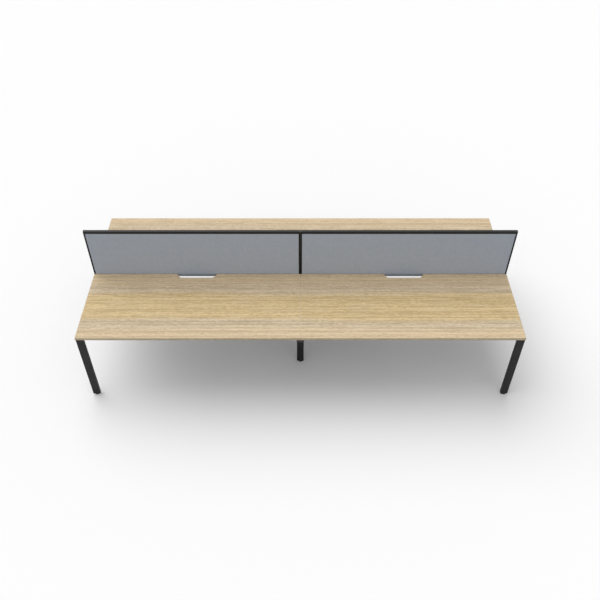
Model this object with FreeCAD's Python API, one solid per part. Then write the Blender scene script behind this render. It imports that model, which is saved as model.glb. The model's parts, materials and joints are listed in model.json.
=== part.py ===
import FreeCAD, Part
import math
import os

from FreeCAD import Placement, Rotation, Vector

# Back-to-back workstation for four seats: oak desktops on a black steel frame, fabric screens in between.
# Millimetres. +X runs along the row, +Y from the front seats to the rear seats, +Z up from the floor.

# Desktops: one board for each seat, with an edge band all round
BAY_LENGTH = 1800.0
TOP_DEPTH = 756.0
TOP_THICKNESS = 25.0
DESK_HEIGHT = 730.0
SLOT_CLEARANCE = 1.5
SEAM_GAP = 0.5
EDGE_BAND = 2.0
BAND_ROUND = 1.0

# Cable scallop in the screen side of each desktop
SCALLOP_MOUTH = 350.0
SCALLOP_FLOOR = 285.0
SCALLOP_DEPTH = 50.0
SCALLOP_FLOOR_RADIUS = 20.0
SCALLOP_MOUTH_RADIUS = 6.0

# Leg frames of rectangular steel tube, wide face to the front
TUBE_WIDTH = 60.0
TUBE_DEPTH = 30.0
TUBE_WALL = 2.0
TUBE_ROUND = 3.0
END_INSET = 1.0
FRONT_INSET = 4.0
MIDDLE_LEG_SETBACK = 390.0
RAIL_CAP = 3.0
RAIL_CAP_PLUG = 15.0

# Levelling feet: a pad that a threaded stem turns in
PAD_DIAMETER = 36.0
PAD_NECK = 24.0
PAD_HEIGHT = 7.0
PAD_RIM = 3.0
PAD_CHAMFER = 1.0
PAD_SOCKET_FLOOR = 3.0
STEM_DIAMETER = 10.0
STEM_REACH = 40.0
STEM_END_GAP = 0.2
COLLAR_FLATS = 17.0
COLLAR_HEIGHT = 4.0
THREAD_CLEARANCE = 0.05
PLUG_FLANGE = 3.0
PLUG_DEPTH = 30.0
PLUG_CLEARANCE = 0.1

# Beams along the row, with a bolted plate at each end
BEAM_WIDTH = 25.0
BEAM_HEIGHT = 50.0
BEAM_WALL = 2.0
BEAM_ROUND = 2.5
OUTER_BEAM_SETBACK = 200.0
INNER_BEAM_SETBACK = 140.0
PLATE_MARGIN = 12.0
PLATE_THICKNESS = 4.0
PLATE_ROUND = 4.0
VENT_DIAMETER = 8.0

# Bolts that hold the beams, and the rivet nuts that they turn in
BOLT_ROOM = 10.0
BOLT_DIAMETER = 6.0
BOLT_PLAY = 0.6
BOLT_HEAD = 10.5
BOLT_HEAD_HEIGHT = 3.3
BOLT_REACH = 14.0
NUT_DIAMETER = 9.0
NUT_BULGE = 12.0
NUT_BULGE_LENGTH = 3.0
NUT_LENGTH = 14.0
FIT_CLEARANCE = 0.05

# Angle brackets under the desktops and the wood screws that go up into the boards
BRACKET_SPREAD = 1000.0
BRACKET_LENGTH = 40.0
BRACKET_LEG = 25.0
BRACKET_THICKNESS = 2.0
BRACKET_BEND = 3.0
BRACKET_SCREW_OFFSET = 15.0
SCREW_DIAMETER = 4.0
SCREW_HEAD = 8.0
SCREW_HEAD_HEIGHT = 2.4
SCREW_LENGTH = 18.0
SCREW_POINT = 3.0
SCREW_PLAY = 0.6
ACCESS_HOLE = 12.0
OUTER_SCREW_SETBACK = 80.0
INNER_SCREW_SETBACK = 285.0
SEAM_SCREW_OFFSET = 15.0

# Screens: an upholstered board in a frame of slim channel sections
SCREEN_HEIGHT = 495.0
LIP_THICKNESS = 1.85
STILE_FACE = 12.5
TOP_RAIL_FLOOR = 5.5
CHANNEL_DEPTH = 6.0
BOTTOM_LIP = 2.5
FRAME_ROUND = 1.2
CORE_THICKNESS = 19.0
FABRIC_THICKNESS = 1.0
CHANNEL_CLEARANCE = 0.15
PANEL_CLEARANCE = 0.5
CHAMBER_WALL = 2.0
STILE_CAP = 2.0
STILE_CAP_PLUG = 3.0
STILE_CAP_CLEARANCE = 0.2

# Screws that pull the screen frame together at its corners
PORT_INSET = 0.4
PORT_MARGIN = 0.2
CORNER_SCREW_DIAMETER = 3.5
CORNER_SCREW_HEAD = 5.6
CORNER_SCREW_GRIP = 12.0

# Plates under the slot that carry the screens
SCREEN_PLATE_SPREAD = 1200.0
SCREEN_PLATE_LENGTH = 60.0
SCREEN_PLATE_LAP = 45.0
SCREEN_PLATE_THICKNESS = 3.0
SCREEN_PLATE_ROUND = 6.0
PLATE_SCREW_INSET = 15.0
SCREEN_BOLT_SPREAD = 36.0
SCREEN_BOLT_DIAMETER = 5.0
SCREEN_BOLT_HEAD = 9.0
SCREEN_BOLT_HEAD_HEIGHT = 2.8
SCREEN_BOLT_END = 1.0

# Places that follow from the sizes above
SIDES = {"front": -1, "rear": 1}
ENDS = {"left": -1, "right": 1}
HEXAGON = 6
CHANNEL_WIDTH = CORE_THICKNESS + 2 * FABRIC_THICKNESS + 2 * CHANNEL_CLEARANCE
SCREEN_THICKNESS = CHANNEL_WIDTH + 2 * LIP_THICKNESS
SCREEN_SLOT = SCREEN_THICKNESS + 2 * SLOT_CLEARANCE
HALF_DEPTH = SCREEN_SLOT / 2 + TOP_DEPTH
UNDERSIDE = DESK_HEIGHT - TOP_THICKNESS
RAIL_BOTTOM = UNDERSIDE - TUBE_DEPTH
RAIL_MIDDLE = UNDERSIDE - TUBE_DEPTH / 2
RAIL_REACH = HALF_DEPTH - FRONT_INSET
END_FRAME_X = BAY_LENGTH - END_INSET - TUBE_WIDTH / 2
END_LEG_Y = RAIL_REACH - TUBE_DEPTH / 2
MIDDLE_LEG_Y = HALF_DEPTH - MIDDLE_LEG_SETBACK
PLUG_BOTTOM = PAD_HEIGHT + COLLAR_HEIGHT
LEG_BOTTOM = PLUG_BOTTOM + PLUG_FLANGE
BAY_MIDDLE = (BAY_LENGTH + SEAM_GAP / 2) / 2
UNIT_LENGTH = BAY_LENGTH - SEAM_GAP / 2
SCREW_HOLE = SCREW_DIAMETER + SCREW_PLAY
BOLT_HOLE = BOLT_DIAMETER + BOLT_PLAY
BOLT_SPREAD = BEAM_WIDTH + BOLT_HEAD + 2 * BOLT_ROOM
PLATE_WIDTH = BOLT_SPREAD + 2 * PLATE_MARGIN
BEAM_START = TUBE_WIDTH / 2
BEAM_END = END_FRAME_X - TUBE_WIDTH / 2
BEAM_LINES = {"outer": HALF_DEPTH - OUTER_BEAM_SETBACK, "inner": SCREEN_SLOT / 2 + INNER_BEAM_SETBACK}
RAIL_SCREW_LINES = [HALF_DEPTH - OUTER_SCREW_SETBACK, SCREEN_SLOT / 2 + INNER_SCREW_SETBACK]
BRACKET_FACES = {"outer": -1, "inner": 1}
SCREEN_TOP = UNDERSIDE + SCREEN_HEIGHT
SCREEN_RAIL_LENGTH = UNIT_LENGTH - 2 * STILE_FACE
STILE_WEB = STILE_FACE - CHANNEL_DEPTH
PORT_BAND = CORNER_SCREW_HEAD + 2 * PORT_MARGIN
PORT_DIAMETER = CORNER_SCREW_DIAMETER + 2 * FIT_CLEARANCE
PORT_Y = CHANNEL_WIDTH / 2 - CORNER_SCREW_DIAMETER / 2 - PORT_INSET
TOP_PORT = STILE_CAP + STILE_CAP_PLUG + PORT_BAND / 2
TOP_RAIL_WEB = TOP_PORT + PORT_BAND / 2 + TOP_RAIL_FLOOR
BOTTOM_RAIL_WEB = PORT_BAND
PORT_HEIGHTS = [UNDERSIDE + BOTTOM_RAIL_WEB / 2, SCREEN_TOP - TOP_PORT]
SCREEN_BOLT_GRIP = BOTTOM_RAIL_WEB - SCREEN_BOLT_END
PLATE_SCREW_Y = SCREEN_SLOT / 2 + SCREEN_PLATE_LAP - PLATE_SCREW_INSET

# Turns that lay a section drawn in local x and y along another axis
ALONG_X = Rotation(Vector(1, 1, 1), 120)
ALONG_Y = Rotation(Vector(1, 1, 1), 240)
CHANNEL_DOWN = Rotation(Vector(0, 1, 0), 90)
CHANNEL_UP = Rotation(Vector(0, 1, 0), -90)
HALF_TURN = Rotation(Vector(0, 0, 1), 180)
FACING = {1: Rotation(Vector(0, 1, 0), 90), -1: Rotation(Vector(0, 1, 0), -90)}


def placed(shape, position, turn=Rotation()):
    """A copy of the shape, turned about its own origin and set at a position."""
    copy = shape.copy()
    copy.Placement = Placement(position, turn).multiply(shape.Placement)
    return copy


def rounded_outline(corners):
    """A closed wire through corners (x, y, radius), with an arc at each corner that has a radius."""
    stops = []
    for index, (x, y, radius) in enumerate(corners):
        corner = Vector(x, y, 0)
        ahead_x, ahead_y, _ = corners[(index + 1) % len(corners)]
        back_x, back_y, _ = corners[index - 1]
        back = (Vector(back_x, back_y, 0) - corner).normalize()
        ahead = (Vector(ahead_x, ahead_y, 0) - corner).normalize()
        half_angle = back.getAngle(ahead) / 2
        reach = radius / math.tan(half_angle)
        crown = (back + ahead).normalize() * (radius / math.sin(half_angle) - radius)
        stops.append((corner + back * reach, corner + crown, corner + ahead * reach, radius))
    edges = []
    for index, (start, crown, end, radius) in enumerate(stops):
        if radius > 0:
            edges.append(Part.Arc(start, crown, end).toShape())
        edges.append(Part.LineSegment(end, stops[(index + 1) % len(stops)][0]).toShape())
    return Part.Wire(edges)


def rectangle(width, depth, radius):
    """A rounded rectangle about the origin."""
    x = width / 2
    y = depth / 2
    return rounded_outline([(-x, -y, radius), (x, -y, radius), (x, y, radius), (-x, y, radius)])


def pierced(outline, openings):
    """A flat face with openings in it."""
    face = Part.Face(outline).cut([Part.Face(opening) for opening in openings])
    return face.Faces[0]


def upright(face, height):
    """The solid that a face in the local xy plane sweeps upwards."""
    return face.extrude(Vector(0, 0, height))


def tube(width, depth, wall, radius, length):
    """A rectangular tube along local z, open at both ends."""
    outside = rectangle(width, depth, radius)
    inside = rectangle(width - 2 * wall, depth - 2 * wall, max(radius - wall, 0))
    return upright(pierced(outside, [inside]), length)


def turned(profile):
    """A solid turned about local z from a closed profile of (radius, height) points."""
    points = [Vector(radius, 0, height) for radius, height in profile]
    face = Part.Face(Part.makePolygon(points + points[:1]))
    return face.revolve(Vector(0, 0, 0), Vector(0, 0, 1), 360)


def headed(head_diameter, head_height, diameter, length, point=0):
    """A bolt or screw along local z: its head hangs below zero and its shank rises from zero."""
    head = head_diameter / 2
    shank = diameter / 2
    profile = [(0, -head_height), (head, -head_height), (head, 0), (shank, 0), (shank, length - point)]
    return turned(profile + [(0, length)])


def hole(diameter, length, position, turn=Rotation()):
    """A cylinder to cut with, along local z from its position."""
    return placed(Part.makeCylinder(diameter / 2, length), position, turn)


def group(solids):
    """Several like pieces kept together under one name."""
    return Part.Compound(list(solids))


def desktop_outline(side, end):
    """One desktop seen from above: a rectangle with a scallop in the edge beside the screen."""
    front = side * HALF_DEPTH
    back = side * SCREEN_SLOT / 2
    floor = back + side * SCALLOP_DEPTH
    outer = end * BAY_LENGTH
    inner = end * SEAM_GAP / 2
    middle = end * BAY_MIDDLE
    mouth = end * SCALLOP_MOUTH / 2
    bottom = end * SCALLOP_FLOOR / 2
    return rounded_outline([
        (outer, front, 0),
        (inner, front, 0),
        (inner, back, 0),
        (middle - mouth, back, SCALLOP_MOUTH_RADIUS),
        (middle - bottom, floor, SCALLOP_FLOOR_RADIUS),
        (middle + bottom, floor, SCALLOP_FLOOR_RADIUS),
        (middle + mouth, back, SCALLOP_MOUTH_RADIUS),
        (outer, back, 0),
    ])


def board_outline(side, end):
    """The board inside its edge band."""
    return desktop_outline(side, end).makeOffset2D(-EDGE_BAND, 2)


def desktop_board(side, end):
    """A desktop's board, with pilot holes for its screws in the underside."""
    face = Part.Face(board_outline(side, end))
    board = placed(upright(face, TOP_THICKNESS), Vector(0, 0, UNDERSIDE))
    pilot = SCREW_DIAMETER + 2 * FIT_CLEARANCE
    holes = []
    for x, y, seat in desktop_screws(side, end):
        depth = SCREW_LENGTH - seat + FIT_CLEARANCE
        holes.append(hole(pilot, depth, Vector(x, y, UNDERSIDE)))
    return board.cut(holes)


def edge_band(side, end):
    """The band round a desktop, scallop included, with softened outer edges."""
    whole = upright(Part.Face(desktop_outline(side, end)), TOP_THICKNESS)
    rims = [edge for edge in whole.Edges if edge.BoundBox.ZLength < FIT_CLEARANCE]
    whole = whole.makeFillet(min(BAND_ROUND, EDGE_BAND / 2), rims)
    board = upright(Part.Face(board_outline(side, end)), TOP_THICKNESS)
    return placed(whole.cut(board), Vector(0, 0, UNDERSIDE))


def bracket_places(side, end):
    """Where the angle brackets stand under one desktop: middle of the bend's outer corner, and which way."""
    for line, y in BEAM_LINES.items():
        facing = side * BRACKET_FACES[line]
        for step in (-1, 1):
            x = end * BAY_MIDDLE + step * BRACKET_SPREAD / 2
            yield x, side * y + facing * BEAM_WIDTH / 2, facing


def plate_places(end):
    """Where the screen plates of one bay stand along the row."""
    return [end * BAY_MIDDLE + step * SCREEN_PLATE_SPREAD / 2 for step in (-1, 1)]


def rail_screws(x):
    """Screws through a cross rail, on a line along it at x."""
    return [(x, side * y) for side in SIDES.values() for y in RAIL_SCREW_LINES]


def desktop_screws(side, end):
    """Every screw of one desktop: its place, and the metal between its head and the board."""
    for x, y, facing in bracket_places(side, end):
        yield x, y + facing * BRACKET_SCREW_OFFSET, BRACKET_THICKNESS
    for x, y in rail_screws(end * END_FRAME_X) + rail_screws(end * SEAM_SCREW_OFFSET):
        if y * side > 0:
            yield x, y, TUBE_WALL
    for x in plate_places(end):
        yield x, side * PLATE_SCREW_Y, SCREEN_PLATE_THICKNESS


def top_screws():
    """The wood screws of all desktops."""
    screw = headed(SCREW_HEAD, SCREW_HEAD_HEIGHT, SCREW_DIAMETER, SCREW_LENGTH, SCREW_POINT)
    for side in SIDES.values():
        for end in ENDS.values():
            for x, y, seat in desktop_screws(side, end):
                yield placed(screw, Vector(x, y, UNDERSIDE - seat))


def top_brackets():
    """Angle brackets on the beams: one leg on the beam's side, the other flat under the board."""
    inside = BRACKET_BEND - BRACKET_THICKNESS
    bend = rounded_outline([
        (0, 0, BRACKET_BEND),
        (0, -BRACKET_LEG, 0),
        (BRACKET_THICKNESS, -BRACKET_LEG, 0),
        (BRACKET_THICKNESS, -BRACKET_THICKNESS, max(inside, 0)),
        (BRACKET_LEG, -BRACKET_THICKNESS, 0),
        (BRACKET_LEG, 0, 0),
    ])
    angle = placed(upright(Part.Face(bend), BRACKET_LENGTH), Vector(-BRACKET_LENGTH / 2, 0, 0), ALONG_X)
    screw_hole = hole(SCREW_HOLE, BRACKET_THICKNESS, Vector(0, BRACKET_SCREW_OFFSET, -BRACKET_THICKNESS))
    angle = angle.cut(screw_hole)
    for side in SIDES.values():
        for end in ENDS.values():
            for x, y, facing in bracket_places(side, end):
                turn = Rotation() if facing > 0 else HALF_TURN
                yield placed(angle, Vector(x, y, UNDERSIDE), turn)


def end_leg(side, end):
    """A corner leg, mitred at its top to meet the cross rail."""
    y = side * END_LEG_Y
    leg = placed(
        tube(TUBE_WIDTH, TUBE_DEPTH, TUBE_WALL, TUBE_ROUND, UNDERSIDE - LEG_BOTTOM),
        Vector(end * END_FRAME_X, y, LEG_BOTTOM),
    )
    return leg.cut(mitre_wedge(side, end, RAIL_REACH - TUBE_DEPTH, UNDERSIDE))


def mitre_wedge(side, end, far_y, far_z):
    """The half of a frame corner that is cut away: the triangle from the mitre line to a far corner."""
    x = end * END_FRAME_X - TUBE_WIDTH / 2
    corners = [(RAIL_REACH, UNDERSIDE), (RAIL_REACH - TUBE_DEPTH, RAIL_BOTTOM), (far_y, far_z)]
    points = [Vector(x, side * y, z) for y, z in corners]
    return Part.Face(Part.makePolygon(points + points[:1])).extrude(Vector(TUBE_WIDTH, 0, 0))


def middle_leg(side):
    """A leg of the middle frame, set back from the edge and welded under its rail."""
    leg = tube(TUBE_WIDTH, TUBE_DEPTH, TUBE_WALL, TUBE_ROUND, RAIL_BOTTOM - LEG_BOTTOM)
    return placed(leg, Vector(0, side * MIDDLE_LEG_Y, LEG_BOTTOM))


def rail_tube(x, reach):
    """A cross rail as it comes from the saw: tube laid along Y under the desktops."""
    rail = tube(TUBE_DEPTH, TUBE_WIDTH, TUBE_WALL, TUBE_ROUND, 2 * reach)
    return placed(rail, Vector(x, -reach, RAIL_MIDDLE), ALONG_Y)


def rail_screw_holes(spots):
    """Screw holes in a rail's top wall, each with a driver's access hole under it."""
    for x, y in spots:
        yield hole(SCREW_HOLE, TUBE_WALL, Vector(x, y, UNDERSIDE - TUBE_WALL))
        yield hole(ACCESS_HOLE, TUBE_WALL, Vector(x, y, RAIL_BOTTOM))


def bolt_lines():
    """Where the beam bolts cross the rails, along Y."""
    for side in SIDES.values():
        for y in BEAM_LINES.values():
            for step in (-1, 1):
                yield side * y + step * BOLT_SPREAD / 2


def rail_faces():
    """The rail faces that beams bolt to: the place along X, and the way each face looks."""
    for end in ENDS.values():
        yield end * BEAM_START, end
        yield end * BEAM_END, -end


def nut_holes(face_x, outward):
    """Holes for the rivet nuts in one rail face."""
    for y in bolt_lines():
        yield hole(NUT_DIAMETER, TUBE_WALL, Vector(face_x, y, RAIL_MIDDLE), FACING[-outward])


def end_rail(end):
    """A mitred rail across the end of the row."""
    cuts = list(rail_screw_holes(rail_screws(end * END_FRAME_X)))
    cuts += nut_holes(end * BEAM_END, -end)
    cuts += [mitre_wedge(side, end, RAIL_REACH, RAIL_BOTTOM) for side in SIDES.values()]
    return rail_tube(end * END_FRAME_X, RAIL_REACH).cut(cuts)


def middle_rail():
    """The rail under the seam of the desktops, which carries beams on both faces."""
    cuts = []
    for end in ENDS.values():
        cuts += rail_screw_holes(rail_screws(end * SEAM_SCREW_OFFSET))
        cuts += nut_holes(end * BEAM_START, end)
    return rail_tube(0, RAIL_REACH - RAIL_CAP).cut(cuts)


def tube_plug(width, depth, flange, reach):
    """A moulded plug for a tube's open end: its flange below local zero, its body above."""
    space = 2 * (TUBE_WALL + PLUG_CLEARANCE)
    lid = upright(Part.Face(rectangle(width, depth, TUBE_ROUND)), flange)
    body = upright(Part.Face(rectangle(width - space, depth - space, max(TUBE_ROUND - TUBE_WALL, 0))), reach)
    return placed(lid, Vector(0, 0, -flange)).fuse(body)


def middle_rail_caps():
    """Plugs in the two open ends of the middle rail."""
    plug = tube_plug(TUBE_DEPTH, TUBE_WIDTH, RAIL_CAP, RAIL_CAP_PLUG)
    turns = {-1: ALONG_Y, 1: HALF_TURN.multiply(ALONG_Y)}
    for side, turn in turns.items():
        yield placed(plug, Vector(0, side * (RAIL_REACH - RAIL_CAP), RAIL_MIDDLE), turn)


def beam(side, end, line):
    """A beam between two rails: a tube with a drilled plate welded over each end."""
    low = min(end * BEAM_START, end * BEAM_END)
    length = BEAM_END - BEAM_START
    bolt_height = RAIL_MIDDLE - (UNDERSIDE - BEAM_HEIGHT / 2)
    body = tube(BEAM_WIDTH, BEAM_HEIGHT, BEAM_WALL, BEAM_ROUND, length - 2 * PLATE_THICKNESS)
    plate = upright(Part.Face(rectangle(PLATE_WIDTH, BEAM_HEIGHT, PLATE_ROUND)), PLATE_THICKNESS)
    bolt_spots = [Vector(step * BOLT_SPREAD / 2, bolt_height, 0) for step in (-1, 1)]
    cuts = [hole(BOLT_HOLE, PLATE_THICKNESS, spot) for spot in bolt_spots]
    cuts.append(hole(VENT_DIAMETER, PLATE_THICKNESS, Vector(0, 0, 0)))
    plate = plate.cut(cuts)
    whole = placed(body, Vector(0, 0, PLATE_THICKNESS))
    whole = whole.fuse([plate, placed(plate, Vector(0, 0, length - PLATE_THICKNESS))])
    return placed(whole, Vector(low, side * BEAM_LINES[line], UNDERSIDE - BEAM_HEIGHT / 2), ALONG_X)


def beam_bolts():
    """Bolts through the beams' end plates."""
    bolt = headed(BOLT_HEAD, BOLT_HEAD_HEIGHT, BOLT_DIAMETER, BOLT_REACH)
    for face_x, outward in rail_faces():
        for y in bolt_lines():
            yield placed(bolt, Vector(face_x + outward * PLATE_THICKNESS, y, RAIL_MIDDLE), FACING[-outward])


def rivet_nuts():
    """Flush rivet nuts in the rail walls, bulged behind the wall where they were set."""
    bore = BOLT_DIAMETER / 2 + FIT_CLEARANCE
    barrel = NUT_DIAMETER / 2 - FIT_CLEARANCE
    bulge = NUT_BULGE / 2
    behind = TUBE_WALL + NUT_BULGE_LENGTH
    nut = turned([
        (bore, 0), (barrel, 0), (barrel, TUBE_WALL), (bulge, TUBE_WALL),
        (bulge, behind), (barrel, behind), (barrel, NUT_LENGTH), (bore, NUT_LENGTH),
    ])
    for face_x, outward in rail_faces():
        for y in bolt_lines():
            yield placed(nut, Vector(face_x, y, RAIL_MIDDLE), FACING[-outward])


def leg_places():
    """The axis of every leg, by name."""
    for side_name, side in SIDES.items():
        yield "middle_" + side_name, 0, side * MIDDLE_LEG_Y
        for end_name, end in ENDS.items():
            yield end_name + "_" + side_name, end * END_FRAME_X, side * END_LEG_Y


def leg_plugs():
    """Plugs in the feet of the legs, threaded for the levelling stems."""
    plug = tube_plug(TUBE_WIDTH, TUBE_DEPTH, PLUG_FLANGE, PLUG_DEPTH)
    thread = hole(STEM_DIAMETER + 2 * THREAD_CLEARANCE, PLUG_FLANGE + PLUG_DEPTH, Vector(0, 0, -PLUG_FLANGE))
    plug = plug.cut(thread)
    for _, x, y in leg_places():
        yield placed(plug, Vector(x, y, LEG_BOTTOM))


def foot_pad():
    """A round pad with a sloped shoulder and a socket for the stem's end."""
    rim = PAD_DIAMETER / 2
    socket = STEM_DIAMETER / 2 + THREAD_CLEARANCE
    return turned([
        (0, 0), (rim - PAD_CHAMFER, 0), (rim, PAD_CHAMFER), (rim, PAD_RIM), (PAD_NECK / 2, PAD_HEIGHT),
        (socket, PAD_HEIGHT), (socket, PAD_SOCKET_FLOOR), (0, PAD_SOCKET_FLOOR),
    ])


def foot_stem():
    """A threaded stem with a hexagon collar to turn it by."""
    bottom = PAD_SOCKET_FLOOR + STEM_END_GAP
    top = PLUG_BOTTOM + STEM_REACH
    rod = Part.makeCylinder(STEM_DIAMETER / 2, top - bottom, Vector(0, 0, bottom))
    radius = COLLAR_FLATS / math.sqrt(3)
    angles = [2 * math.pi * step / HEXAGON for step in range(HEXAGON)]
    hexagon = rounded_outline([(radius * math.cos(a), radius * math.sin(a), 0) for a in angles])
    collar = placed(upright(Part.Face(hexagon), COLLAR_HEIGHT), Vector(0, 0, PAD_HEIGHT))
    return rod.fuse(collar)


def channel_outline(web, channel_depth):
    """The section of a screen frame member: outer face at local zero, panel channel on the far side."""
    half = SCREEN_THICKNESS / 2
    lip = CHANNEL_WIDTH / 2
    face = web + channel_depth
    return rounded_outline([
        (0, -half, FRAME_ROUND), (face, -half, 0), (face, -lip, 0), (web, -lip, 0),
        (web, lip, 0), (face, lip, 0), (face, half, 0), (0, half, FRAME_ROUND),
    ])


def screw_ports(inset):
    """The round ports that run along a screen rail for its corner screws."""
    centres = [Vector(inset, step * PORT_Y, 0) for step in (-1, 1)]
    return [Part.Wire(Part.makeCircle(PORT_DIAMETER / 2, centre)) for centre in centres]


def bay_span(end):
    """Where one bay's screen starts and stops along the row."""
    return sorted([end * BAY_LENGTH, end * SEAM_GAP / 2])


def screen_top_rail(end):
    """The deep top rail, hollow between its screw ports."""
    low, _ = bay_span(end)
    near = CHAMBER_WALL
    far = TOP_RAIL_WEB - CHAMBER_WALL
    y = PORT_Y - PORT_DIAMETER / 2 - CHAMBER_WALL
    chamber = rounded_outline([(near, -y, 0), (far, -y, 0), (far, y, 0), (near, y, 0)])
    section = pierced(channel_outline(TOP_RAIL_WEB, CHANNEL_DEPTH), screw_ports(TOP_PORT) + [chamber])
    rail = upright(section, SCREEN_RAIL_LENGTH)
    return placed(rail, Vector(low + STILE_FACE, 0, SCREEN_TOP), CHANNEL_DOWN)


def screen_bolt_places(end):
    """Where bolts come up into a screen's bottom rail."""
    return [x + step * SCREEN_BOLT_SPREAD / 2 for x in plate_places(end) for step in (-1, 1)]


def screen_bottom_rail(end):
    """The slim bottom rail with its low lips, tapped from below for the screen plates."""
    _, high = bay_span(end)
    section = pierced(channel_outline(BOTTOM_RAIL_WEB, BOTTOM_LIP), screw_ports(BOTTOM_RAIL_WEB / 2))
    rail = upright(section, SCREEN_RAIL_LENGTH)
    rail = placed(rail, Vector(high - STILE_FACE, 0, UNDERSIDE), CHANNEL_UP)
    tapping = SCREEN_BOLT_DIAMETER + 2 * FIT_CLEARANCE
    depth = SCREEN_BOLT_GRIP + FIT_CLEARANCE
    return rail.cut([hole(tapping, depth, Vector(x, 0, UNDERSIDE)) for x in screen_bolt_places(end)])


def countersunk(head_diameter, diameter, length):
    """A flush-headed screw along local z, or the hole for one."""
    head = head_diameter / 2
    shank = diameter / 2
    return turned([(0, 0), (head, 0), (shank, head - shank), (shank, length), (0, length)])


def corner_places(end):
    """Each corner screw of one screen: its head's place and the way it points along X."""
    low, high = bay_span(end)
    for x, inward in ((low, 1), (high, -1)):
        for z in PORT_HEIGHTS:
            for step in (-1, 1):
                yield Vector(x, step * PORT_Y, z), inward


def screen_stile(end, inward):
    """An upright of the screen frame, countersunk for the corner screws."""
    low, high = bay_span(end)
    stile = upright(Part.Face(channel_outline(STILE_WEB, CHANNEL_DEPTH)), SCREEN_HEIGHT - STILE_CAP)
    turn = Rotation() if inward > 0 else HALF_TURN
    stile = placed(stile, Vector(low if inward > 0 else high, 0, UNDERSIDE), turn)
    room = 2 * FIT_CLEARANCE
    sink = countersunk(CORNER_SCREW_HEAD + room, CORNER_SCREW_DIAMETER + room, STILE_WEB)
    cuts = [placed(sink, place, FACING[way]) for place, way in corner_places(end) if way == inward]
    return stile.cut(cuts)


def screen_corner_screws():
    """Screws through the stiles into the ports of the screen rails."""
    screw = countersunk(CORNER_SCREW_HEAD, CORNER_SCREW_DIAMETER, STILE_FACE + CORNER_SCREW_GRIP)
    for end in ENDS.values():
        for place, inward in corner_places(end):
            yield placed(screw, place, FACING[inward])


def stile_caps():
    """Moulded caps on top of the stiles, each with a tongue down into the channel."""
    half = SCREEN_THICKNESS / 2
    lid = Part.Face(rounded_outline([
        (0, -half, FRAME_ROUND), (STILE_FACE, -half, 0), (STILE_FACE, half, 0), (0, half, FRAME_ROUND),
    ]))
    tongue = Part.makeBox(
        CHANNEL_DEPTH - 2 * STILE_CAP_CLEARANCE,
        CHANNEL_WIDTH - 2 * STILE_CAP_CLEARANCE,
        STILE_CAP_PLUG,
        Vector(STILE_WEB + STILE_CAP_CLEARANCE, STILE_CAP_CLEARANCE - CHANNEL_WIDTH / 2, -STILE_CAP_PLUG),
    )
    cap = upright(lid, STILE_CAP).fuse(tongue)
    for end in ENDS.values():
        low, high = bay_span(end)
        yield placed(cap, Vector(low, 0, SCREEN_TOP - STILE_CAP))
        yield placed(cap, Vector(high, 0, SCREEN_TOP - STILE_CAP), HALF_TURN)


def panel_layer(end, start_y, thickness):
    """One layer of a screen panel, seated in the frame's channels."""
    low, high = bay_span(end)
    margin = STILE_WEB + PANEL_CLEARANCE
    bottom = UNDERSIDE + BOTTOM_RAIL_WEB
    top = SCREEN_TOP - TOP_RAIL_WEB - PANEL_CLEARANCE
    corner = Vector(low + margin, start_y, bottom)
    return Part.makeBox(high - low - 2 * margin, thickness, top - bottom, corner)


def screen_fabric(end, side):
    """The cloth on one face of a screen panel."""
    start = CORE_THICKNESS / 2 if side > 0 else -CORE_THICKNESS / 2 - FABRIC_THICKNESS
    return panel_layer(end, start, FABRIC_THICKNESS)


def screen_plates():
    """Flat plates across the slot, screwed to the desktops on both sides."""
    depth = SCREEN_SLOT + 2 * SCREEN_PLATE_LAP
    plate = upright(
        Part.Face(rectangle(SCREEN_PLATE_LENGTH, depth, SCREEN_PLATE_ROUND)), SCREEN_PLATE_THICKNESS)
    bolt_hole = SCREEN_BOLT_DIAMETER + 2 * FIT_CLEARANCE
    cuts = []
    for step in (-1, 1):
        cuts.append(hole(SCREW_HOLE, SCREEN_PLATE_THICKNESS, Vector(0, step * PLATE_SCREW_Y, 0)))
        cuts.append(hole(bolt_hole, SCREEN_PLATE_THICKNESS, Vector(step * SCREEN_BOLT_SPREAD / 2, 0, 0)))
    plate = plate.cut(cuts)
    for end in ENDS.values():
        for x in plate_places(end):
            yield placed(plate, Vector(x, 0, UNDERSIDE - SCREEN_PLATE_THICKNESS))


def screen_bolts():
    """Bolts that hold the screens down on their plates."""
    length = SCREEN_PLATE_THICKNESS + SCREEN_BOLT_GRIP
    bolt = headed(SCREEN_BOLT_HEAD, SCREEN_BOLT_HEAD_HEIGHT, SCREEN_BOLT_DIAMETER, length)
    for end in ENDS.values():
        for x in screen_bolt_places(end):
            yield placed(bolt, Vector(x, 0, UNDERSIDE - SCREEN_PLATE_THICKNESS))


def desktop_parts():
    """The boards, their edge bands and the beams under them."""
    for side_name, side in SIDES.items():
        bands = []
        for end_name, end in ENDS.items():
            seat = side_name + "_" + end_name
            yield seat + "_desktop", desktop_board(side, end)
            bands.append(edge_band(side, end))
            for line in BEAM_LINES:
                yield seat + "_" + line + "_beam", beam(side, end, line)
        yield side_name + "_edge_bands", group(bands)


def frame_parts():
    """The welded leg frames, tube by tube, and what fastens them to the beams and desktops."""
    for side_name, side in SIDES.items():
        yield "middle_" + side_name + "_leg", middle_leg(side)
        for end_name, end in ENDS.items():
            yield end_name + "_" + side_name + "_leg", end_leg(side, end)
    for end_name, end in ENDS.items():
        yield end_name + "_end_rail", end_rail(end)
    yield "middle_rail", middle_rail()
    yield "middle_rail_caps", group(middle_rail_caps())
    yield "beam_bolts", group(beam_bolts())
    yield "rivet_nuts", group(rivet_nuts())
    yield "top_brackets", group(top_brackets())
    yield "top_screws", group(top_screws())


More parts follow.
